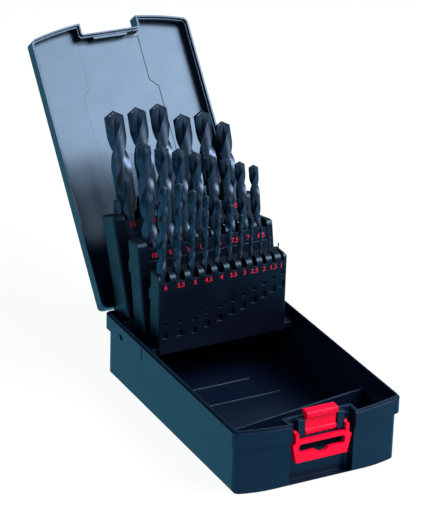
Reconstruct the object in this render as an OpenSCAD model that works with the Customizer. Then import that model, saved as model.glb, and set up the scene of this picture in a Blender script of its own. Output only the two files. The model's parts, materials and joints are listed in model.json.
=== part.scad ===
// Hinged drill bit case: three numbered racks fan out of the base as the lid opens.
// X is the width, the latch faces -Y, the hinge is at +Y, Z is up.
// The origin is the middle of the flat bottom. The lid is drawn open and the racks raised.

/* [Case] */
// Width over the rim band
case_w = 115; // [114:0.5:120]
// Length of the straight sides
case_len = 181; // [179:1:195]
// How far the front face bows out at its middle
front_bow = 8; // [7:0.5:9]
// Height of the base up to its rim
base_h = 41.7; // [40:0.1:44]
// Thickness of the floor
floor_t = 2; // [1.6:0.1:2.4]
// Wall thickness
wall = 2.2; // [2:0.1:2.6]
// Height of the band round the rim
band_h = 10; // [8:0.5:12]
// How far the band stands out from the lower body
band_step = 1.8; // [1:0.1:2]
// Radius of the band's upright corners
corner_r = 4.5; // [3.5:0.1:5]
// Radius of the lower body's upright corners
foot_corner_r = 7; // [5:0.5:8]
// Radius of the lower front edge
front_foot_r = 5; // [2:0.5:6]
// Radius of the lower rear edge
rear_foot_r = 2.5; // [1:0.5:4]
// Height of the tongue that the lid closes over
tongue_h = 1.5; // [1:0.1:2]
// Height of the two low ribs on the floor
rib_h = 0.5; // [0.3:0.1:0.7]
// Height of the slanted divider's top edge
divider_top = 32.6; // [20:0.2:32.8]

/* [Lid] */
// Thickness of the lid's panel
lid_t = 2; // [1.6:0.1:2.6]
// Opening angle of the lid from closed
lid_open = 128.4; // [110:0.2:130]
// Distance of the hinge line behind the back wall
hinge_back = 3.3; // [3.2:0.1:4]
// Height of the hinge line above the rim
hinge_up = 1.2; // [1:0.1:2]
// How far the lid reaches out behind the back wall
lid_over = 4.3; // [4.2:0.1:4.6]
// Diameter of the hinge pins
hinge_pin_d = 2.4; // [1.8:0.1:2.6]

/* [Latch] */
// Half width of the recess in the front
recess_half = 21.8; // [21.8:0.1:24]
// Depth of the recess behind the bowed front
recess_deep = 10; // [9.6:0.1:10.4]
// Half width of the red latch
latch_half = 10.6; // [10:0.1:11]
// Thickness of the latch plate
latch_t = 2; // [1.8:0.1:2.2]
// Half width of the hanger over its widest corners
hanger_half = 20.2; // [19.8:0.1:21]
// Height of the hanger below its pivot
hanger_drop = 18.5; // [17.5:0.5:24]
// Diameter of the clasp pin
clasp_pin_d = 2; // [1.6:0.1:2.2]

/* [Racks] */
// Thickness of the front rack
front_t = 13; // [12.6:0.1:13.4]
// Thickness of the middle rack
middle_t = 15; // [14.6:0.1:15.4]
// Thickness of the back rack
back_t = 18; // [17.6:0.1:18.4]
// Backward lean of the middle rack when it is raised
middle_lean = 11.4; // [9:0.2:12]
// Backward lean of the back rack when it is raised
back_lean = 22.5; // [20:0.5:24]
// Height of the front rack's top above the rack axis
front_top = 51.5; // [49:0.5:56]
// Height of the middle rack's top above the rack axis
middle_top = 62; // [58:0.5:66]
// Height of the back rack's top above the rack axis
back_top = 75.5; // [71:0.5:78]
// Radius of the brow along each rack's upper front edge
brow_r = 4.5; // [2:0.5:5]
// Height of the rack axis above the table
axis_z = 36; // [36:0.1:36.4]
// Distance of the rack axis from the back of the case
axis_back = 21.5; // [21:0.1:23]
// Diameter of the rack pins
rack_pin_d = 5; // [4:0.2:6]

/* [Drills] */
// Play all round a drill in its socket
socket_play = 0.15; // [0.1:0.01:0.2]
// Length of the cone at the tip, as a share of the diameter
point_share = 0.3; // [0.25:0.01:0.45]
// Thickness of the web between the flutes, as a share of the diameter
web_share = 0.24; // [0.18:0.01:0.3]

/* [Hidden] */
$fn = 72;

eps = 0.01;
// Clearance between parts that slide or swing past each other
gap = 0.3;
// Radial clearance of a pin in a turning bore
run = 0.05;

// Standard jobber drills of each rack: diameter, overall length, flute length, and place across
// the rack for a case of the usual width
BACK_ROW = [
    [13.0, 151, 101, -35.6], [12.5, 151, 101, -19.4], [12.0, 151, 101, -4.0],
    [11.5, 142, 94, 11.6], [11.0, 142, 94, 26.2], [10.5, 133, 87, 39.8]
];
MIDDLE_ROW = [
    [10.0, 133, 87, -36.4], [9.5, 125, 81, -23.9], [9.0, 125, 81, -12.0], [8.5, 117, 75, -0.8],
    [8.0, 117, 75, 10.0], [7.5, 109, 69, 20.6], [7.0, 109, 69, 30.6], [6.5, 101, 63, 40.4]
];
FRONT_ROW = [
    [6.0, 93, 57, -41.0], [5.5, 93, 57, -30.4], [5.0, 86, 52, -20.4], [4.5, 80, 47, -11.0],
    [4.0, 75, 43, -2.0], [3.5, 70, 39, 6.6], [3.0, 61, 33, 14.6], [2.5, 57, 30, 22.2],
    [2.0, 49, 24, 29.2], [1.5, 40, 18, 35.8], [1.0, 34, 12, 42.2]
];
usual_w = 115;
// Places in a row's entry
DIA = 0;
LEN = 1;
FLUTE = 2;
PLACE = 3;

// Case outline
half_len = case_len / 2;
half_w = case_w / 2;
front_y = -half_len - front_bow;
bow_r = (pow(half_w, 2) + pow(front_bow, 2)) / (2 * front_bow);
band_z = base_h - band_h;
tongue_in = 1.3;
inner_low = band_step + wall;
ledge_z = band_z - 1.7;

// Stack of the folded racks, from the floor to the lid
fold_gap = 0.4;
front_z = floor_t + rib_h + gap;
middle_z = front_z + front_t + fold_gap;
back_z = middle_z + middle_t + fold_gap;
stack_top = back_z + back_t;
lid_in = stack_top + 0.5 - base_h;
lid_h = lid_in + lid_t;

// Rack axis, and how far each rack's front face lies in front of it
axis_y = half_len - axis_back;
front_off = axis_z - front_z;
middle_off = axis_z - middle_z;
back_off = axis_z - back_z;
// Half widths of the racks
front_half = half_w - 11.9;
middle_half = half_w - 9.2;
back_half = half_w - 6.8;
// Heights of the first and the last tip of the middle row, which step down evenly
middle_tips = [124, 97.4];
// Rack bottoms, measured up the rack from the axis
front_bottom = -3;
middle_bottom = -10.5;
back_bottom = -12;
back_floor = -10;
front_floor = 17.5;
front_floor_rise = 5;
rack_r = 1.2;
shoulder_r = 2.5;
slim_top = 9;
slim_half = middle_half;
ear_t = 1.5;
ear_in = slim_half + gap;
arm_in = ear_in + ear_t + gap;
arm_t = 1.5;
arm_out = arm_in + arm_t;
ear_r = 5.5;
boss_in = arm_out + gap;
pin_in = slim_half - 1.3;
pin_out = half_w - 1.6;
lug_w = 5;
lug_r = 4;
lug_high = 1.6;
front_lug_z = 35;
middle_lug_z = 44;
// Longer than any part, for cuts that run right through
far = 2 * case_len;

// Hinge
hinge_y = half_len + hinge_back;
hinge_z = base_h + hinge_up;
knuckle_r = 3;
hinge_x = half_w - 20.5;
knuckle_half = 4;
knuckle_len = 7;

// Latch recess, clasp pin and notch
recess_y = front_y + recess_deep;
clasp_y = recess_y - 2.9;
clasp_z = base_h - 7.5;
ear_inner = latch_half + 0.6;
ear_outer = 15.9;
arm_inner = ear_outer + gap;
arm_outer = arm_inner + 2.2;
hook_z = base_h + 3.5;
hook_reach = 0.3;
notch_half = 20.5;
notch_y = recess_y - 1.2;
pocket_half = latch_half + 0.7;
pocket_wall = 1.2;
latch_top = hook_z + 2.8;
hanger_front = front_y + 2.8;
hanger_t = 2.4;
hanger_deep = 4.6;

// 2D outline of the case seen from above, drawn inwards by a distance and longer at the back
module footprint(inset, over, corner) {
    w = half_w - inset;
    r = max(corner - inset, 0.6);
    big = bow_r - inset;
    centre_y = front_y + bow_r;
    corner_y = centre_y - sqrt(pow(big - r, 2) - pow(w - r, 2));
    back = half_len + over - inset;
    intersection() {
        translate([-w + r, front_y - 1]) square([2 * (w - r), back - front_y + 1]);
        translate([0, centre_y]) circle(r = big, $fn = 360);
    }
    for (s = [-1, 1]) {
        translate([s * (w - r), corner_y]) circle(r = r);
        translate([s * (w - r), back - r]) circle(r = r);
        translate([s > 0 ? w - r - eps : -w, corner_y]) square([r + eps, back - r - corner_y]);
    }
}

// 2D rectangle standing on Y = 0, with a radius at its lower left and its lower right corner
module round_foot(w, h, left_r, right_r) {
    translate([-w, left_r]) square([w, h - left_r]);
    translate([0, right_r]) square([w, h - right_r]);
    translate([-w + left_r, 0]) square([2 * w - left_r - right_r, h]);
    translate([-w + left_r, left_r]) circle(r = left_r);
    translate([w - right_r, right_r]) circle(r = right_r);
}

module slab(inset, z0, z1, over = 0, corner = corner_r) {
    translate([0, 0, z0]) linear_extrude(z1 - z0) footprint(inset, over, corner);
}

// A profile drawn in Y and Z, swept along X between two places
module along_x(x0, x1) {
    translate([x0, 0, 0]) rotate([90, 0, 90]) linear_extrude(x1 - x0) children();
}

module rod_x(x0, x1, y, z, d) {
    translate([x0, y, z]) rotate([0, 90, 0]) cylinder(d = d, h = x1 - x0);
}

module both_sides() {
    children();
    mirror([1, 0, 0]) children();
}

// ---- Base ----

module recess_plan(half, y, r) {
    translate([-half, front_y - 5]) square([2 * half, y - front_y + 5 - r]);
    translate([-half + r, front_y - 5]) square([2 * (half - r), y - front_y + 5]);
    for (s = [-1, 1]) translate([s * (half - r), y - r]) circle(r = r);
}

module base_body() {
    mid_y = (front_y + half_len) / 2;
    reach = (half_len - front_y) / 2;
    difference() {
        union() {
            intersection() {
                slab(band_step, 0, band_z + eps, corner = foot_corner_r);
                along_x(-case_w, case_w) translate([mid_y, 0])
                    round_foot(reach - band_step, base_h, front_foot_r, rear_foot_r);
                translate([0, case_len, 0]) rotate([90, 0, 0])
                    linear_extrude(2 * case_len) round_foot(half_w - band_step, base_h, 1.5, 1.5);
            }
            slab(0, band_z, base_h);
            // The tongue stops short of the hinge side
            difference() {
                slab(tongue_in, base_h - eps, base_h + tongue_h);
                translate([-case_w, half_len - corner_r - 2, base_h]) cube([2 * case_w, case_len, 2 * tongue_h]);
            }
        }
        difference() {
            union() {
                slab(inner_low, floor_t, base_h, corner = foot_corner_r);
                slab(wall, ledge_z, base_h + 5);
            }
            linear_extrude(base_h + 9) recess_plan(recess_half + wall, recess_y + wall, 2);
        }
        translate([0, 0, 1]) linear_extrude(base_h + 9) recess_plan(recess_half, recess_y, 1.5);
    }
}

// Ears for the clasp pin, with a ledge from each ear to the side of the recess
module clasp_ears() {
    ear_front = 2.1;
    difference() {
        union() {
            translate([ear_inner, clasp_y - ear_front, clasp_z - 2.5])
                cube([ear_outer - ear_inner, recess_y - clasp_y + ear_front + eps, base_h - clasp_z + 2.5]);
            translate([ear_inner, clasp_y - ear_front, base_h - eps])
                cube([ear_outer - ear_inner, notch_y - gap - clasp_y + ear_front, tongue_h + eps]);
            translate([ear_outer - eps, recess_y - 1.4, base_h - 4.4])
                cube([recess_half - ear_outer + 2 * eps, 1.4 + eps, 2.4]);
        }
        rod_x(0, case_w, clasp_y, clasp_z, clasp_pin_d);
    }
}

// Slanted divider that closes off a small tray behind the front wall
module divider() {
    left_y = -71.5;
    right_y = -55;
    intersection() {
        translate([0, 0, floor_t - eps]) linear_extrude(divider_top - floor_t) polygon([
            [-half_w, left_y], [half_w, right_y], [half_w, right_y + 1.6], [-half_w, left_y + 1.6]
        ]);
        slab(inner_low - eps, 0, base_h);
    }
}

// Inner bosses and bores for the rack pins
module rack_boss() {
    along_x(boss_in, half_w - wall + eps) translate([axis_y, axis_z]) circle(r = 5.2);
}

// Faint sunk panel along each side of the band
module thumb_panel() {
    deep = 0.3;
    translate([-half_w - 1, -56, band_z - eps]) cube([1 + deep, 92, band_h - deep]);
}

// Half-moon mark in the band beside each rack pin
module pin_mark() {
    mark_y = axis_y - 4.1;
    intersection() {
        rod_x(half_w - 0.8, half_w + 1, mark_y, axis_z - 0.4, 5.2);
        translate([half_w - 2, mark_y - 5, axis_z - 5]) cube([4, 10, 5.8]);
    }
}

// Low rib across the floor, starting at the left wall
module floor_rib(y, length) {
    translate([-half_w + inner_low - eps, y, floor_t - eps]) cube([length, 0.8, rib_h]);
}

module base_knuckle(x0) {
    difference() {
        union() {
            rod_x(x0, x0 + knuckle_len, hinge_y, hinge_z, 2 * knuckle_r);
            along_x(x0, x0 + knuckle_len) polygon([
                [half_len - eps, band_z + 1], [half_len - eps, base_h - 0.6],
                [hinge_y - 1, hinge_z - 1], [hinge_y + knuckle_r - 0.2, hinge_z - 0.5]
            ]);
        }
        rod_x(x0 - 1, x0 + knuckle_len + 1, hinge_y, hinge_z, hinge_pin_d);
    }
}

// A point given from the hinge line on the closed lid, turned to the open lid
function opened(y, z) = [
    hinge_y + y * cos(lid_open) + z * sin(lid_open),
    hinge_z - y * sin(lid_open) + z * cos(lid_open)
];

// Lug on the back wall that the open lid's back wall rests against
module lid_stop() {
    face = lid_over - hinge_back + gap;
    along_x(8, 20) polygon([
        [half_len - eps, band_z + 1], [half_len - eps, base_h - 1],
        opened(face, 3.5), opened(face, 7.5)
    ]);
}

module base_shell() {
    color([0.10, 0.12, 0.17]) difference() {
        union() {
            base_body();
            both_sides() clasp_ears();
            divider();
            both_sides() rack_boss();
            floor_rib(36.4, 0.65 * case_w);
            floor_rib(13, 0.74 * case_w);
            for (s = [-1, 1]) {
                base_knuckle(s * hinge_x - knuckle_half - knuckle_len - gap);
                base_knuckle(s * hinge_x + knuckle_half + gap);
            }
            both_sides() lid_stop();
        }
        both_sides() rod_x(boss_in - 1, pin_out, axis_y, axis_z, rack_pin_d);
        both_sides() rod_x(hinge_x - knuckle_half - gap, hinge_x + knuckle_half + gap,
            hinge_y, hinge_z, 2 * (knuckle_r + gap));
        both_sides() pin_mark();
        both_sides() thumb_panel();
    }
}

// ---- Lid, drawn closed and then turned open ----

module lid_body() {
    mid_y = (front_y + half_len + lid_over) / 2;
    reach = (half_len + lid_over - front_y) / 2;
    top = base_h + lid_h;
    edge_r = 2;
    difference() {
        intersection() {
            slab(0, base_h, top, over = lid_over);
            translate([0, 0, top]) mirror([0, 0, 1])
                along_x(-case_w, case_w) translate([mid_y, 0]) round_foot(reach, lid_h + 1, edge_r, edge_r);
            translate([0, case_len, top]) mirror([0, 0, 1]) rotate([90, 0, 0])
                linear_extrude(2 * case_len) round_foot(half_w, lid_h + 1, edge_r, edge_r);
        }
        difference() {
            slab(wall, base_h - 1, base_h + lid_in, over = lid_over);
            translate([0, 0, base_h - 1]) linear_extrude(lid_h)
                recess_plan(notch_half + wall, notch_y + wall, 2);
            translate([0, 0, hook_z - pocket_wall]) linear_extrude(lid_h)
                recess_plan(pocket_half + pocket_wall, notch_y + wall + hook_reach + pocket_wall, 0.8);
        }
        // Rebate that closes over the base's tongue
        difference() {
            slab(tongue_in - 0.2, base_h - 1, base_h + tongue_h + gap);
            linear_extrude(base_h + 9) recess_plan(notch_half + wall - 1.2, notch_y + wall - 1.2, 2);
        }
        linear_extrude(top + 9) recess_plan(notch_half, notch_y, 1.5);
        translate([0, 0, hook_z]) linear_extrude(lid_h + 9)
            recess_plan(pocket_half, notch_y + wall + hook_reach, 0.8);
        lid_channel();
    }
}

// Shallow channel pressed into the lid's inner face, narrower towards the latch
module lid_channel() {
    deep = 0.4;
    narrow = half_w - 35.2;
    wide = half_w - 29.8;
    step_y = -49;
    start_y = notch_y + 2 * wall;
    end_y = half_len - wall;
    jog = wide - narrow;
    translate([0, 0, base_h + lid_in - eps]) linear_extrude(deep) polygon([
        [-narrow, start_y], [narrow, start_y], [narrow, step_y - jog], [wide, step_y],
        [wide, end_y], [-wide, end_y], [-wide, step_y], [-narrow, step_y - jog]
    ]);
}

module lid_knuckle() {
    x0 = hinge_x - knuckle_half;
    x1 = hinge_x + knuckle_half;
    rod_x(x0, x1, hinge_y, hinge_z, 2 * knuckle_r);
}

module turned_open() {
    translate([0, hinge_y, hinge_z]) rotate([-lid_open, 0, 0]) translate([0, -hinge_y, -hinge_z]) children();
}

module lid_shell() {
    color([0.16, 0.18, 0.25]) turned_open() difference() {
        union() {
            lid_body();
            both_sides() lid_knuckle();
        }
        for (s = [-1, 1]) {
            rod_x(s * hinge_x - knuckle_half - knuckle_len - 2 * gap, s * hinge_x - knuckle_half,
                hinge_y, hinge_z, 2 * (knuckle_r + gap));
            rod_x(s * hinge_x + knuckle_half, s * hinge_x + knuckle_half + knuckle_len + 2 * gap,
                hinge_y, hinge_z, 2 * (knuckle_r + gap));
        }
        both_sides() rod_x(hinge_x - knuckle_half - 1, hinge_x + knuckle_half + 1,
            hinge_y, hinge_z, hinge_pin_d + 2 * run);
    }
}

module hinge_pin(side) {
    reach = knuckle_half + knuckle_len;
    color([0.6, 0.62, 0.65])
        rod_x(side * hinge_x - reach, side * hinge_x + reach, hinge_y, hinge_z, hinge_pin_d);
}

module hinge_pin_left() { hinge_pin(-1); }
module hinge_pin_right() { hinge_pin(1); }

// ---- Latch and hanger ----

module latch() {
    plate_front = clasp_y - 1;
    nose_back = notch_y + wall + hook_reach - gap - 0.1;
    nose_r = 2.4;
    nose_low = latch_top - 2 * nose_r;
    back_r = 1;
    foot_r = 2.2;
    ridges = 5;
    ridge_r = 0.8;
    pitch = 2 * latch_half / ridges;
    color([0.93, 0.10, 0.18]) difference() {
        union() {
            along_x(-latch_half, latch_half) {
                translate([plate_front, clasp_z]) square([latch_t, latch_top - nose_r - clasp_z]);
                translate([plate_front, latch_top - nose_r]) circle(r = nose_r);
                translate([plate_front, latch_top - nose_r])
                    square([notch_y - gap - plate_front, nose_r]);
                translate([plate_front, hook_z + gap])
                    square([nose_back - back_r - plate_front, latch_top - hook_z - gap]);
                translate([nose_back - back_r, latch_top - back_r]) circle(r = back_r);
                translate([nose_back - back_r, hook_z + gap])
                    square([back_r, latch_top - back_r - hook_z - gap]);
                translate([clasp_y, clasp_z]) circle(r = foot_r);
            }
            // Finger ridges round the nose and the scalloped lower edge
            for (i = [0 : ridges - 1]) translate([(i - (ridges - 1) / 2) * pitch, 0, 0]) {
                translate([0, plate_front - nose_r + 0.3, nose_low + 1.6])
                    cylinder(r = ridge_r, h = 2 * nose_r - 3.2);
                translate([0, clasp_y - 0.9, clasp_z - 1]) rotate([-90, 0, 0]) cylinder(r = 1.7, h = 1.6);
            }
        }
        rod_x(-case_w, case_w, clasp_y, clasp_z, clasp_pin_d + 2 * run);
    }
}

// Outline of the hanger plate in X and Z, below the pin
module hanger_outline() {
    low = clasp_z - hanger_drop;
    shoulder = clasp_z - 6;
    head = clasp_z + 1.1;
    polygon([
        [-arm_outer, head], [-arm_outer, shoulder + 1.6], [-hanger_half, shoulder],
        [-hanger_half + 2.6, low], [hanger_half - 2.6, low],
        [hanger_half, shoulder], [arm_outer, shoulder + 1.6], [arm_outer, head]
    ]);
}

// Slot with a half-round dip, for hanging the case on a hook
module hanger_slot() {
    slot_top = clasp_z - 6.2;
    slot_low = clasp_z - 11.8;
    slot_half = 15.8;
    slot_r = 1.7;
    dip_r = 5.2;
    translate([-slot_half + slot_r, slot_low]) square([2 * (slot_half - slot_r), slot_top - slot_low]);
    translate([-slot_half, slot_low + slot_r]) square([2 * slot_half, slot_top - slot_low - 2 * slot_r]);
    for (s = [-1, 1], z = [slot_low + slot_r, slot_top - slot_r])
        translate([s * (slot_half - slot_r), z]) circle(r = slot_r);
    intersection() {
        translate([0, slot_low + 2.6]) circle(r = dip_r);
        translate([-dip_r, slot_low - dip_r]) square([2 * dip_r, dip_r + slot_top - slot_low - 1]);
    }
}

module hanger() {
    bar_top = clasp_z - 3.5;
    flange_w = 3.6;
    arm_w = arm_outer - arm_inner;
    color([0.93, 0.10, 0.18]) difference() {
        union() {
            translate([0, hanger_front + hanger_t, 0]) rotate([90, 0, 0]) linear_extrude(hanger_t) difference() {
                hanger_outline();
                translate([-arm_inner, bar_top]) square([2 * arm_inner, 20]);
                hanger_slot();
            }
            // Side flanges that stiffen the plate
            translate([0, hanger_front + hanger_deep, 0]) rotate([90, 0, 0]) linear_extrude(hanger_deep) difference() {
                intersection() {
                    hanger_outline();
                    translate([-case_w, 0]) square([2 * case_w, clasp_z - 6]);
                }
                translate([-hanger_half + flange_w, 0]) square([2 * (hanger_half - flange_w), clasp_z]);
            }
            both_sides() {
                rod_x(arm_inner, arm_outer, clasp_y, clasp_z, 4.4);
                translate([arm_inner, hanger_front + 1, clasp_z - 2.2])
                    cube([arm_w, clasp_y - hanger_front - 1, 3.2]);
            }
        }
        rod_x(-arm_inner - arm_w / 2, arm_inner + arm_w / 2, clasp_y, clasp_z, clasp_pin_d + 2 * run);
    }
}

module clasp_pin() {
    tip = arm_inner + (arm_outer - arm_inner) / 2 - gap;
    color([0.6, 0.62, 0.65]) rod_x(-tip, tip, clasp_y, clasp_z, clasp_pin_d);
}

// ---- Racks, drawn upright about the axis and then leaned back ----

// Moves a rack from its own frame (Y back from the axis, Z up the rack) to its raised place
module raised(lean) {
    translate([0, axis_y, axis_z]) rotate([-lean, 0, 0]) children();
}

function place(row, i) = row[i][PLACE] * case_w / usual_w;

// Height of each socket's floor over the axis
function even_floor(row, i, tips) = tips[0] + (tips[1] - tips[0]) * i / (len(row) - 1) - row[i][LEN];
back_floors = [for (i = [0 : len(BACK_ROW) - 1]) back_floor];
middle_floors = [for (i = [0 : len(MIDDLE_ROW) - 1]) even_floor(MIDDLE_ROW, i, middle_tips)];
front_floors = [for (i = [0 : len(FRONT_ROW) - 1]) front_floor + front_floor_rise * i / (len(FRONT_ROW) - 1)];

// Round sockets, each open to the front near its top
module socket_row(row, off, t, floors, top) {
    bay_deep = 5;
    bay_play = 0.8;
    for (i = [0 : len(row) - 1]) {
        bay_w = row[i][DIA] + bay_play;
        translate([place(row, i), -off + t / 2, floors[i]])
            cylinder(d = row[i][DIA] + 2 * socket_play, h = top - floors[i] + 1);
        translate([place(row, i) - bay_w / 2, -off - 1, top - bay_deep]) cube([bay_w, t / 2 + 1, bay_deep + 1]);
    }
}

// Thin fins that stand up between the drills, drawn from the side as [Y from the front, height over the top]
module fins(row, off, top, thick, side) {
    for (i = [0 : len(row) - 2]) {
        room = place(row, i + 1) - place(row, i) - (row[i][DIA] + row[i + 1][DIA]) / 2;
        fin_t = min(thick, room - 0.8);
        middle = (place(row, i + 1) - row[i + 1][DIA] / 2 + place(row, i) + row[i][DIA] / 2) / 2;
        along_x(middle - fin_t / 2, middle + fin_t / 2) translate([-off, top]) polygon(side);
    }
}

// Rack block with a rounded brow, rounded sides and rounded shoulders
module rack_block(half, off, t, bottom, top) {
    intersection() {
        along_x(-half, half) {
            translate([-off, bottom]) square([t, top - brow_r - bottom]);
            translate([-off + brow_r, bottom]) square([t - brow_r - rack_r, top - bottom]);
            translate([-off + brow_r, top - brow_r]) circle(r = brow_r);
            translate([-off + t - rack_r - 1, bottom]) square([rack_r + 1, top - rack_r - bottom]);
            translate([-off + t - rack_r, top - rack_r]) circle(r = rack_r);
        }
        translate([0, 0, top]) mirror([0, 0, 1]) rotate([90, 0, 0])
            linear_extrude(far, center = true) round_foot(half, top - bottom + 1, shoulder_r, shoulder_r);
        translate([0, -off + t / 2, bottom - 1]) linear_extrude(top - bottom + 2) {
            square([2 * half, t - 2 * rack_r], center = true);
            square([2 * (half - rack_r), t], center = true);
            for (x = [-1, 1], y = [-1, 1])
                translate([x * (half - rack_r), y * (t / 2 - rack_r)]) circle(r = rack_r);
        }
    }
}

// Cut below the lower edge of a rack, with a sloping side between two points
module edge_cut(p, q, out) {
    along_x(-case_w, case_w) polygon([p, q, [q[0], q[1] - 1], [p[0] + out, q[1] - 1], [p[0] + out, p[1]]]);
}

// Bores for the rack pins
module pin_bores() {
    both_sides() rod_x(pin_in - 0.2, case_w, 0, 0, rack_pin_d + 2 * run);
}

// Pocket in a front face for the lug of the rack before it
module lug_pocket(half, off, z) {
    both_sides() translate([half - lug_w - gap, -off - 1, z - lug_r - gap])
        cube([lug_w + 2 * gap, 1 + lug_high + gap, 2 * (lug_r + gap)]);
}

module rack_back() {
    rear = -back_off + back_t;
    fin_side = [[3.4, -1], [5, 8], [7.5, 9], [9, 8], [13.4, -1]];
    end_x = place(BACK_ROW, 0) - BACK_ROW[0][DIA] / 2 - 1.5;
    color([0.12, 0.14, 0.19]) raised(back_lean) difference() {
        union() {
            rack_block(back_half, back_off, back_t, back_bottom, back_top);
            fins(BACK_ROW, back_off, back_top, 1.8, fin_side);
            along_x(end_x - 1, end_x + 1) translate([-back_off, back_top]) polygon(fin_side);
        }
        socket_row(BACK_ROW, back_off, back_t, back_floors, back_top);
        // Slimmer foot, so that the other racks' ears pass beside it
        both_sides() translate([slim_half, -far / 2, back_bottom - 1]) cube([far, far, slim_top - back_bottom + 1]);
        // The lower rear edge is cut off to clear the back wall as the rack swings
        edge_cut([rear, back_bottom + 2.3], [rear - 3.5, back_bottom], 1);
        pin_bores();
        lug_pocket(middle_half, back_off, middle_lug_z);
        front_relief(BACK_ROW, back_off, back_top);
    }
}

// Shallow panel behind each row of numbers, cut into the front face
module front_relief(row, off, top) {
    deep = 0.4;
    relief_h = 9;
    last = len(row) - 1;
    x0 = place(row, 0) - row[0][DIA] / 2;
    x1 = place(row, last) + row[last][DIA] / 2;
    translate([x0, -off - 1, top - brow_r - relief_h]) cube([x1 - x0, 1 + deep, relief_h]);
}

module rack_middle() {
    rear = -middle_off + middle_t;
    fin_side = [[4, -1], [5, 0.6], [12.6, 3], [13.4, 2.6], [13.4, -1]];
    color([0.12, 0.14, 0.19]) raised(middle_lean) difference() {
        union() {
            rack_block(middle_half, middle_off, middle_t, middle_bottom, middle_top);
            fins(MIDDLE_ROW, middle_off, middle_top, 1.4, fin_side);
            both_sides() {
                along_x(ear_in, ear_in + ear_t) middle_ear_outline(rear);
                along_x(middle_half - 1, ear_in + eps) intersection() {
                    middle_ear_outline(rear);
                    translate([-far, -far / 2]) square([far + rear - 0.4, far]);
                }
                rack_lug(middle_half, rear, middle_lug_z);
            }
        }
        socket_row(MIDDLE_ROW, middle_off, middle_t, middle_floors, middle_top);
        // The lower edges are cut off to clear the back rack and the front rack
        edge_cut([rear, 0], [rear - 2, middle_bottom], 1);
        edge_cut([-middle_off, -2], [-middle_off + 1.7, middle_bottom], -1);
        pin_bores();
        lug_pocket(front_half, middle_off, front_lug_z);
        front_relief(MIDDLE_ROW, middle_off, middle_top);
    }
}

// Side view of the middle rack's ear, from its lower rear edge to the axis
module middle_ear_outline(rear) {
    circle(r = ear_r);
    polygon([[0, -ear_r], [0, ear_r], [rear - 6, ear_r], [rear - 6, -ear_r]]);
}

// Half-round driver lug on the rear face, which pulls the next rack along
module rack_lug(half, rear, z) {
    intersection() {
        along_x(half - lug_w, half) translate([rear, z]) circle(r = lug_r);
        translate([0, rear - 1, z - 2 * lug_r]) cube([case_w, 1 + lug_high, 4 * lug_r]);
    }
}

module rack_front() {
    rear = -front_off + front_t;
    foot_top = 1;
    color([0.12, 0.14, 0.19]) raised(0) difference() {
        union() {
            rack_block(front_half, front_off, front_t, front_bottom, front_top);
            both_sides() {
                along_x(arm_in, arm_out) front_arm_outline(rear, foot_top);
                translate([front_half - 2, -front_off + 1, front_bottom])
                    cube([arm_out - front_half + 2, front_t - 2, foot_top - front_bottom]);
                rack_lug(front_half, rear, front_lug_z);
            }
        }
        socket_row(FRONT_ROW, front_off, front_t, front_floors, front_top);
        pin_bores();
        depth_windows();
    }
}

// Side view of the front rack's arm, from its foot to the axis
module front_arm_outline(rear, foot_top) {
    circle(r = ear_r);
    polygon([[0, -ear_r], [0, ear_r], [rear, foot_top], [-front_off + 1, foot_top],
        [-front_off + 1, front_bottom], [rear, front_bottom]]);
}

// Windows in the front face that show how deep each drill sits
module depth_windows() {
    low = 10;
    step = 2.55;
    lift = 8;
    deep = 1.2;
    for (i = [0 : len(FRONT_ROW) - 1]) {
        x = place(FRONT_ROW, i);
        z = low + step * max(0, i - 2);
        translate([x - 1.1, -front_off - 1, z + lift - 1.1]) cube([2.2, 1 + deep, 2.2]);
        translate([x - 2, -front_off - 1, z - 2.3]) cube([4, 1 + deep, 4.6]);
    }
}

// ---- Pins that carry the racks ----

module rack_pin() {
    rod_x(pin_in, pin_out, axis_y, axis_z, rack_pin_d);
}

module rack_pin_left() { color([0.6, 0.62, 0.65]) mirror([1, 0, 0]) rack_pin(); }
module rack_pin_right() { color([0.6, 0.62, 0.65]) rack_pin(); }

// ---- Drills ----

module drill(d, length, flute) {
    tip = d * point_share;
    groove_r = 0.32 * d;
    color([0.14, 0.15, 0.18]) difference() {
        union() {
            cylinder(d = d, h = length - tip);
            translate([0, 0, length - tip]) cylinder(d1 = d, d2 = 0, h = tip);
        }
        for (s = [-1, 1])
            translate([0, s * (groove_r + web_share * d / 2), length - flute]) cylinder(r = groove_r, h = flute + 1);
    }
}

module placed_drill(row, i, off, t, lean, floors) {
    raised(lean) translate([place(row, i), -off + t / 2, floors[i]])
        drill(row[i][DIA], row[i][LEN], row[i][FLUTE]);
}

module back_drill(i) {
    placed_drill(BACK_ROW, i, back_off, back_t, back_lean, back_floors);
}

module middle_drill(i) {
    placed_drill(MIDDLE_ROW, i, middle_off, middle_t, middle_lean, middle_floors);
}

module front_drill(i) {
    placed_drill(FRONT_ROW, i, front_off, front_t, 0, front_floors);
}

// The first name in NODES that belongs to each row of drills
first_back = 12;
first_middle = 18;
first_front = 26;

base_shell();
lid_shell();
hinge_pin_left();
hinge_pin_right();
latch();
hanger();
clasp_pin();
rack_pin_left();
rack_pin_right();
rack_back();
rack_middle();
rack_front();
for (i = [0 : len(BACK_ROW) - 1])
    back_drill(i);
for (i = [0 : len(MIDDLE_ROW) - 1])
    middle_drill(i);
for (i = [0 : len(FRONT_ROW) - 1])
    front_drill(i);
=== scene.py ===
"""Looks of the drill bit case: materials, helical drills, size numbers, light and camera."""
import bpy
import json
import math
from mathutils import Matrix, Vector


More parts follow.
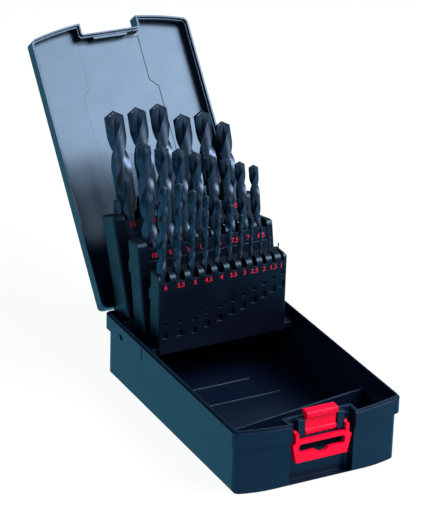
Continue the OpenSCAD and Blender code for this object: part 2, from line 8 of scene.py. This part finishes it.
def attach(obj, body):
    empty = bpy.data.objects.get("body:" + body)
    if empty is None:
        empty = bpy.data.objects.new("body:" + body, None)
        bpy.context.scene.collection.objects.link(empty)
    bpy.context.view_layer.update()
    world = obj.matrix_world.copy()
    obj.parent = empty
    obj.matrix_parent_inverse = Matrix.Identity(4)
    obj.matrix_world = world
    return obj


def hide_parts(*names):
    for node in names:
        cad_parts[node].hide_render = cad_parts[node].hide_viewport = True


MM = 0.001
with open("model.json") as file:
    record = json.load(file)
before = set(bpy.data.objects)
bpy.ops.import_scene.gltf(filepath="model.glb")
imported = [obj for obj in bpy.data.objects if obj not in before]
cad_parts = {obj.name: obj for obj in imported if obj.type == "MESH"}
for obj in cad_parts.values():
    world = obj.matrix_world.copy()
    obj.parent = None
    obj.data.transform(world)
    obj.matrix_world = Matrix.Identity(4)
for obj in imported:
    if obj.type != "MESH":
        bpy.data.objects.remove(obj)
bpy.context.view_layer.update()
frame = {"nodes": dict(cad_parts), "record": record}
NODES = frame["nodes"]

# ---- Places that part.scad gives, in millimetres ----

AXIS_Y = 69.0
AXIS_Z = 36.0
BACK_LEAN = 22.5
MIDDLE_LEAN = 11.4
BACK_OFF, BACK_T = 4.4, 18.0
MIDDLE_OFF, MIDDLE_T = 19.8, 15.0
FRONT_OFF, FRONT_T = 33.2, 13.0
# Diameter, overall length, flute length, place across, height of the socket floor
BACK_ROW = [
    (13.0, 151, 101, -35.6, -10), (12.5, 151, 101, -19.4, -10), (12.0, 151, 101, -4.0, -10),
    (11.5, 142, 94, 11.6, -10), (11.0, 142, 94, 26.2, -10), (10.5, 133, 87, 39.8, -10),
]
MIDDLE_ROW = [
    (10.0, 133, 87, -36.4, -9.0), (9.5, 125, 81, -23.9, -4.8), (9.0, 125, 81, -12.0, -8.6),
    (8.5, 117, 75, -0.8, -4.4), (8.0, 117, 75, 10.0, -8.2), (7.5, 109, 69, 20.6, -4.0),
    (7.0, 109, 69, 30.6, -7.8), (6.5, 101, 63, 40.4, -3.6),
]
FRONT_ROW = [
    (6.0, 93, 57, -41.0, 17.5), (5.5, 93, 57, -30.4, 18.0), (5.0, 86, 52, -20.4, 18.5),
    (4.5, 80, 47, -11.0, 19.0), (4.0, 75, 43, -2.0, 19.5), (3.5, 70, 39, 6.6, 20.0),
    (3.0, 61, 33, 14.6, 20.5), (2.5, 57, 30, 22.2, 21.0), (2.0, 49, 24, 29.2, 21.5),
    (1.5, 40, 18, 35.8, 22.0), (1.0, 34, 12, 42.2, 22.5),
]


def raised(lean):
    """Places something drawn upright about the rack axis on a rack that leans back."""
    at_axis = Matrix.Translation((0, AXIS_Y * MM, AXIS_Z * MM))
    return at_axis @ Matrix.Rotation(-math.radians(lean), 4, "X")


# ---- Materials ----

def new_material(name):
    mat = bpy.data.materials.new(name)
    mat.use_nodes = True
    tree = mat.node_tree
    bsdf = tree.nodes["Principled BSDF"]
    return mat, tree, bsdf


def node(tree, kind, **inputs):
    made = tree.nodes.new(kind)
    for key, value in inputs.items():
        made.inputs[key.replace("_", " ")].default_value = value
    return made


def ramp(tree, source, stops):
    made = tree.nodes.new("ShaderNodeValToRGB")
    element = made.color_ramp.elements
    while len(element) < len(stops):
        element.new(0.5)
    for i, (place, colour) in enumerate(stops):
        element[i].position = place
        element[i].color = (*colour, 1)
    tree.links.new(source, made.inputs["Fac"])
    return made.outputs["Color"]


def grey(v):
    return (v, v, v)


def plastic(name, dark, light, rough, grain, tint, edge=0.00035, specular=0.5):
    """Moulded plastic: cloudy colour, uneven gloss, fine grain, softened edges and fine scuffs."""
    mat, tree, bsdf = new_material(name)
    link = tree.links.new
    place = tree.nodes.new("ShaderNodeTexCoord").outputs["Object"]
    cloud = node(tree, "ShaderNodeTexNoise", Scale=38.0, Detail=4.0, Roughness=0.55)
    link(place, cloud.inputs["Vector"])
    link(ramp(tree, cloud.outputs["Fac"], [(0.3, dark), (0.75, light)]), bsdf.inputs["Base Color"])
    smear = node(tree, "ShaderNodeTexNoise", Scale=90.0, Detail=6.0, Roughness=0.6)
    link(place, smear.inputs["Vector"])
    gloss = ramp(tree, smear.outputs["Fac"], [(0.3, grey(rough[0])), (0.7, grey(rough[1]))])
    link(gloss, bsdf.inputs["Roughness"])
    fine = node(tree, "ShaderNodeTexNoise", Scale=2600.0, Detail=2.0, Roughness=0.5)
    link(place, fine.inputs["Vector"])
    soft = tree.nodes.new("ShaderNodeBevel")
    soft.samples = 4
    soft.inputs["Radius"].default_value = edge
    bump = node(tree, "ShaderNodeBump", Strength=grain, Distance=0.00008)
    link(fine.outputs["Fac"], bump.inputs["Height"])
    link(soft.outputs["Normal"], bump.inputs["Normal"])
    link(bump.outputs["Normal"], bsdf.inputs["Normal"])
    bsdf.inputs["Specular Tint"].default_value = (*tint, 1)
    bsdf.inputs["Specular IOR Level"].default_value = specular
    return mat


def steel(name, dark, light, rough, streak_scale):
    """Turned or drawn steel: metallic, with streaks along the surface and small dull patches."""
    mat, tree, bsdf = new_material(name)
    link = tree.links.new
    place = tree.nodes.new("ShaderNodeTexCoord").outputs["Object"]
    streaks = node(tree, "ShaderNodeTexNoise", Scale=streak_scale, Detail=5.0, Roughness=0.7)
    link(place, streaks.inputs["Vector"])
    link(ramp(tree, streaks.outputs["Fac"], [(0.3, dark), (0.72, light)]), bsdf.inputs["Base Color"])
    gloss = ramp(tree, streaks.outputs["Fac"], [(0.25, grey(rough[1])), (0.75, grey(rough[0]))])
    link(gloss, bsdf.inputs["Roughness"])
    fine = node(tree, "ShaderNodeTexNoise", Scale=3500.0, Detail=1.0, Roughness=0.5)
    link(place, fine.inputs["Vector"])
    bump = node(tree, "ShaderNodeBump", Strength=0.15, Distance=0.00005)
    link(fine.outputs["Fac"], bump.inputs["Height"])
    link(bump.outputs["Normal"], bsdf.inputs["Normal"])
    bsdf.inputs["Metallic"].default_value = 1.0
    return mat


CASE = plastic(
    "case_plastic", dark=(0.0012, 0.0034, 0.012), light=(0.0023, 0.0055, 0.016),
    rough=(0.32, 0.35), grain=0.25, tint=(0.50, 0.72, 1.0))
RACK = plastic(
    "rack_plastic", dark=(0.0008, 0.0010, 0.004), light=(0.0020, 0.0022, 0.007),
    rough=(0.36, 0.46), grain=0.4, tint=(0.40, 0.70, 1.0), specular=0.36)
RED = plastic(
    "red_plastic", dark=(0.62, 0.0006, 0.020), light=(0.70, 0.0010, 0.027),
    rough=(0.30, 0.40), grain=0.15, tint=(1.0, 0.30, 0.40), edge=0.0003, specular=0.14)
PIN = steel(
    "pin_steel", dark=(0.40, 0.41, 0.43), light=(0.58, 0.59, 0.61),
    rough=(0.28, 0.4), streak_scale=300.0)
DRILL = steel(
    "drill_steel", dark=(0.030, 0.046, 0.075), light=(0.065, 0.090, 0.132),
    rough=(0.36, 0.50), streak_scale=260.0)
PRINT = plastic(
    "number_print", dark=(0.55, 0.010, 0.035), light=(0.66, 0.014, 0.045),
    rough=(0.4, 0.5), grain=0.2, tint=(1.0, 0.9, 0.9), edge=0.00002, specular=0.2)

SLOT_MATERIAL = {
    "case_plastic": CASE, "rack_plastic": RACK, "red_plastic": RED,
    "pin_steel": PIN, "drill_steel": DRILL,
}
for part in frame["record"]["subparts"]:
    mesh = NODES[part["node"]].data
    mesh.materials.clear()
    mesh.materials.append(SLOT_MATERIAL[part["material_slot"]])

# ---- Twist drills ----

SEGMENTS = 40
HELIX = math.radians(27)
# Half the angle of the point
POINT = math.radians(59)
# Shares of a half turn at which the margin and the land end
MARGIN_END = 0.07
LAND_END = 0.46
# Radius behind the margin and at the web, as shares of the drill's
CLEARANCE = 0.965
WEB = 0.27
# Least height of a slice, in metres, and the number of slices along the point
LEAST_SLICE = 0.12 * MM * 3
POINT_SLICES = 6
# Radius of the shank's chamfered end, as a share, and the chamfer's height over the diameter
CHAMFER = 0.94
CHAMFER_HIGH = 0.03
# Edges sharper than this stay sharp
SHARP = math.radians(42)
# Turn of the flutes at every drill's tip
START_TURN = math.radians(-37)


def flute_section(turn):
    """Radius of a two-flute section, as a share of the drill's, at a part of a half turn from 0 to 1."""
    if turn < MARGIN_END:
        return 1.0
    if turn < LAND_END:
        return CLEARANCE
    t = (turn - LAND_END) / (1 - LAND_END)
    return 1 - (1 - WEB) * math.sin(math.pi * t ** 0.85) ** 0.7


def twist_drill(name, d, length, flute):
    """A jobber drill standing on its shank, in metres."""
    r = d / 2
    tip_z = length - r / math.tan(POINT)
    start = length - flute
    run_out = 1.1 * d
    pitch = math.pi * d / math.tan(HELIX)
    heights = [0.0, CHAMFER_HIGH * d, start]
    step = max(d / 9, LEAST_SLICE)
    z = start + step
    while z < tip_z:
        heights.append(z)
        z += step
    heights += [tip_z + (length - tip_z) * k / POINT_SLICES for k in range(POINT_SLICES)]
    verts = []
    for z in heights:
        depth = min(max((z - start) / run_out, 0), 1)
        depth = depth * depth * (3 - 2 * depth)
        cone = (length - z) * math.tan(POINT) if z > tip_z else r
        chamfer = CHAMFER if z == 0 else 1.0
        for k in range(SEGMENTS):
            turn = 2 * k / SEGMENTS
            rr = r * (1 - depth * (1 - flute_section(turn % 1.0))) * chamfer
            rr = min(rr, cone)
            a = math.pi * turn + 2 * math.pi * (z - length) / pitch + START_TURN
            verts.append((rr * math.cos(a), rr * math.sin(a), z))
    faces = []
    for i in range(len(heights) - 1):
        for k in range(SEGMENTS):
            a, b = i * SEGMENTS + k, i * SEGMENTS + (k + 1) % SEGMENTS
            faces.append((a, b, b + SEGMENTS, a + SEGMENTS))
    top = len(verts)
    verts.append((0, 0, length))
    last = (len(heights) - 1) * SEGMENTS
    faces += [(last + k, last + (k + 1) % SEGMENTS, top) for k in range(SEGMENTS)]
    faces.append(tuple(reversed(range(SEGMENTS))))
    mesh = bpy.data.meshes.new(name)
    mesh.from_pydata(verts, [], faces)
    mesh.shade_smooth()
    mesh.set_sharp_from_angle(angle=SHARP)
    mesh.materials.append(DRILL)
    made = bpy.data.objects.new(name, mesh)
    bpy.context.scene.collection.objects.link(made)
    return made


def place_row(row, off, thick, lean):
    """Stands a row's drills in their sockets, in place of the plain solids."""
    for d, length, flute, x, low in row:
        label = f"{d:.1f}".replace(".", "_")
        made = twist_drill(f"twist_drill_{label}", d * MM, length * MM, flute * MM)
        seat = Matrix.Translation((x * MM, (thick / 2 - off) * MM, low * MM))
        made.matrix_world = raised(lean) @ seat
        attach(made, f"drill_{label}")
        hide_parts(f"drill_{label}")


place_row(BACK_ROW, BACK_OFF, BACK_T, BACK_LEAN)
place_row(MIDDLE_ROW, MIDDLE_OFF, MIDDLE_T, MIDDLE_LEAN)
place_row(FRONT_ROW, FRONT_OFF, FRONT_T, 0)

# ---- Size numbers ----

NUMBER_SIZE = 4.5
INK = 0.05
# Depth of the panel behind the numbers of the two leaning racks
RELIEF = 0.4


def numbers(name, body, row, xs, face, lean, height):
    """One object with a row's sizes, printed on the front face of its rack."""
    whole = bpy.data.meshes.new(name)
    verts, faces = [], []
    for (d, *_), x in zip(row, xs):
        curve = bpy.data.curves.new(name, "FONT")
        curve.body = f"{d:g}".replace(".", ",")
        curve.size = NUMBER_SIZE * MM
        curve.align_x = "CENTER"
        curve.align_y = "CENTER"
        curve.extrude = INK * MM
        curve.resolution_u = 3
        text = bpy.data.objects.new(name + "_text", curve)
        bpy.context.scene.collection.objects.link(text)
        bpy.context.view_layer.update()
        graph = bpy.context.evaluated_depsgraph_get()
        mesh = bpy.data.meshes.new_from_object(text.evaluated_get(graph))
        to = Matrix.Translation((x * MM, face * MM, height * MM)) @ Matrix.Rotation(math.pi / 2, 4, "X")
        first = len(verts)
        verts += [to @ v.co for v in mesh.vertices]
        faces += [[first + i for i in p.vertices] for p in mesh.polygons]
        bpy.data.objects.remove(text)
        bpy.data.curves.remove(curve)
        bpy.data.meshes.remove(mesh)
    whole.from_pydata(verts, [], faces)
    whole.materials.append(PRINT)
    made = bpy.data.objects.new(name, whole)
    bpy.context.scene.collection.objects.link(made)
    made.matrix_world = raised(lean)
    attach(made, body)


numbers(
    "numbers_back", "rack_back", BACK_ROW, xs=[-37.8, -21.4, -6.4, 9.6, 24.6, 37.3],
    face=RELIEF - BACK_OFF, lean=BACK_LEAN, height=67.4)
numbers(
    "numbers_middle", "rack_middle", MIDDLE_ROW,
    xs=[-37.3, -24.3, -13.1, -2.0, 9.2, 20.4, 29.9, 39.4],
    face=RELIEF - MIDDLE_OFF, lean=MIDDLE_LEAN, height=52.0)
numbers(
    "numbers_front", "rack_front", FRONT_ROW,
    xs=[-41.0, -30.2, -20.3, -10.7, -1.6, 6.9, 14.9, 22.0, 29.0, 35.6, 41.4],
    face=-FRONT_OFF, lean=0, height=43.4)

# ---- Stage, light and camera ----

# Just under the case's flat bottom, in metres
FLOOR_Z = -0.0002


def add_glow(tree, shader, ray, share, colour):
    """Mixes a share of plain light into what one kind of ray sees of a surface."""
    part = node(tree, "ShaderNodeMath")
    part.operation = "MULTIPLY"
    part.inputs[1].default_value = share
    tree.links.new(ray, part.inputs[0])
    glow = tree.nodes.new("ShaderNodeEmission")
    glow.inputs["Color"].default_value = (*colour, 1)
    mix = tree.nodes.new("ShaderNodeMixShader")
    tree.links.new(part.outputs[0], mix.inputs["Fac"])
    tree.links.new(shader, mix.inputs[1])
    tree.links.new(glow.outputs[0], mix.inputs[2])
    return mix.outputs[0]


def make_floor(camera_share, painted_reflection_share, tint):
    """A wide pale floor that keeps the case's shadow. To glossy rays it glows teal, a painted reflection
    that gives the case's glossy sides their teal sheen.
    """
    mesh = bpy.data.meshes.new("floor")
    far = 6.0
    corners = [(-far, -far, 0), (far, -far, 0), (far, far, 0), (-far, far, 0)]
    mesh.from_pydata(corners, [], [(0, 1, 2, 3)])
    floor = bpy.data.objects.new("floor", mesh)
    bpy.context.scene.collection.objects.link(floor)
    mat = bpy.data.materials.new("floor_white")
    mat.use_nodes = True
    tree = mat.node_tree
    bsdf = tree.nodes["Principled BSDF"]
    bsdf.inputs["Base Color"].default_value = (0.86, 0.86, 0.86, 1)
    bsdf.inputs["Roughness"].default_value = 0.9
    bsdf.inputs["Specular IOR Level"].default_value = 0.0
    path = tree.nodes.new("ShaderNodeLightPath")
    seen = add_glow(tree, bsdf.outputs[0], path.outputs["Is Camera Ray"], camera_share, (1, 1, 1))
    # Glossy rays see the floor glow in the given tint: a painted reflection, the teal sheen on the
    # case's glossy sides.
    seen = add_glow(tree, seen, path.outputs["Is Glossy Ray"], painted_reflection_share, tint)
    tree.links.new(seen, tree.nodes["Material Output"].inputs["Surface"])
    mesh.materials.append(mat)
    floor.location.z = FLOOR_Z


def make_world(strength, tint):
    """Even light from all round, which the camera sees as white."""
    world = bpy.data.worlds.new("studio")
    world.use_nodes = True
    bpy.context.scene.world = world
    tree = world.node_tree
    back = tree.nodes["Background"]
    back.inputs["Color"].default_value = (*tint, 1)
    back.inputs["Strength"].default_value = strength
    path = tree.nodes.new("ShaderNodeLightPath")
    white = tree.nodes.new("ShaderNodeBackground")
    white.inputs["Color"].default_value = (1, 1, 1, 1)
    mix = tree.nodes.new("ShaderNodeMixShader")
    tree.links.new(path.outputs["Is Camera Ray"], mix.inputs["Fac"])
    tree.links.new(back.outputs[0], mix.inputs[1])
    tree.links.new(white.outputs[0], mix.inputs[2])
    tree.links.new(mix.outputs[0], tree.nodes["World Output"].inputs["Surface"])


def softbox(name, target, direction, distance, width, height, power):
    """A soft rectangular lamp that faces a point of the case."""
    lamp = bpy.data.lights.new(name, "AREA")
    lamp.shape = "RECTANGLE"
    lamp.size = width
    lamp.size_y = height
    lamp.energy = power
    made = bpy.data.objects.new(name, lamp)
    bpy.context.scene.collection.objects.link(made)
    way = Vector(direction).normalized()
    made.location = Vector(target) + way * distance
    made.rotation_euler = way.to_track_quat("Z", "Y").to_euler()
    return made


# The floor's teal glow to glossy rays is a painted reflection on the case's glossy sides.
make_floor(camera_share=0.94, painted_reflection_share=1.0, tint=(0.17, 0.62, 0.85))
make_world(strength=0.40, tint=(0.42, 0.74, 1.0))
softbox(
    "key", target=(0, 0.15, 0.11), direction=(0.54, -0.56, 0.74),
    distance=1.5, width=0.98, height=0.78, power=48.0)
softbox(
    "fill_left", target=(0, 0.0, 0.08), direction=(-0.9, -0.25, 0.45),
    distance=1.4, width=0.5, height=0.9, power=3.0)

# Camera fitted to the corners of the case in the photograph, which is 439 pixels wide
PHOTO_WIDTH = 439
FOCAL_PX = 2601.6
CAMERA_AT = (-0.7048, -1.2744, 0.7813)
AZIMUTH = math.radians(-28.157)
ELEVATION = math.radians(24.892)
ROLL = math.radians(1.786)


def make_camera():
    sa, ca = math.sin(AZIMUTH), math.cos(AZIMUTH)
    se, ce = math.sin(ELEVATION), math.cos(ELEVATION)
    right = Vector((ca, sa, 0))
    up = Vector((-sa * se, ca * se, ce))
    back = Vector((sa * ce, -ca * ce, se))
    x = right * math.cos(ROLL) + up * math.sin(ROLL)
    y = up * math.cos(ROLL) - right * math.sin(ROLL)
    lens = bpy.data.cameras.new("camera")
    lens.sensor_fit = "HORIZONTAL"
    lens.sensor_width = 36
    lens.lens = FOCAL_PX * lens.sensor_width / PHOTO_WIDTH
    lens.clip_start = 0.05
    lens.clip_end = 20
    camera = bpy.data.objects.new("camera", lens)
    bpy.context.scene.collection.objects.link(camera)
    turn = Matrix((x, y, back)).transposed().to_4x4()
    camera.matrix_world = Matrix.Translation(CAMERA_AT) @ turn
    bpy.context.scene.camera = camera


make_camera()
bpy.context.scene.view_settings.view_transform = "Standard"
